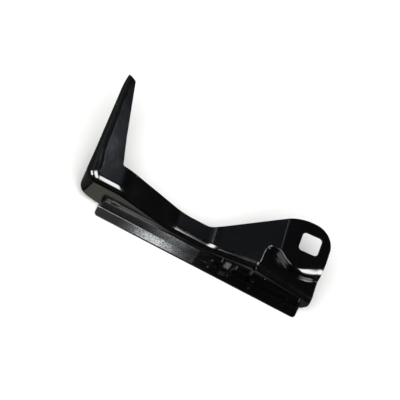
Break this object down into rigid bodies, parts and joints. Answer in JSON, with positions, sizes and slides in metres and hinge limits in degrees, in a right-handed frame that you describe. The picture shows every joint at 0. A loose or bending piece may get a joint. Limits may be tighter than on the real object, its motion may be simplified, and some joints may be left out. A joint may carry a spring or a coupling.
{
  "type": "fender support bracket",
  "caption": "Pressed steel bracket with a tapered arm, a wavy flanged web and a lug with a square hole, on a straight L-shaped rail with foam tape along one half.",
  "frame": {"origin": "centre of the square hole, on the upper face of the lug's pad", "axes": "+X along the rail from the arm's end to the lug's end, +Y from the front flange to the lug's rounded end, +Z out of the pad's upper face"},
  "size_m": [0.1515, 0.0783, 0.026],
  "materials": {
    "coated_steel": "glossy black electrocoat",
    "foam_tape": "fine-grained matt foam"
  },
  "bodies": {
    "root": {"main_bracket": "coated_steel", "lower_rail": "coated_steel", "upper_seal_strip": "foam_tape", "lower_seal_strip": "foam_tape"}
  },
  "joints": []
}
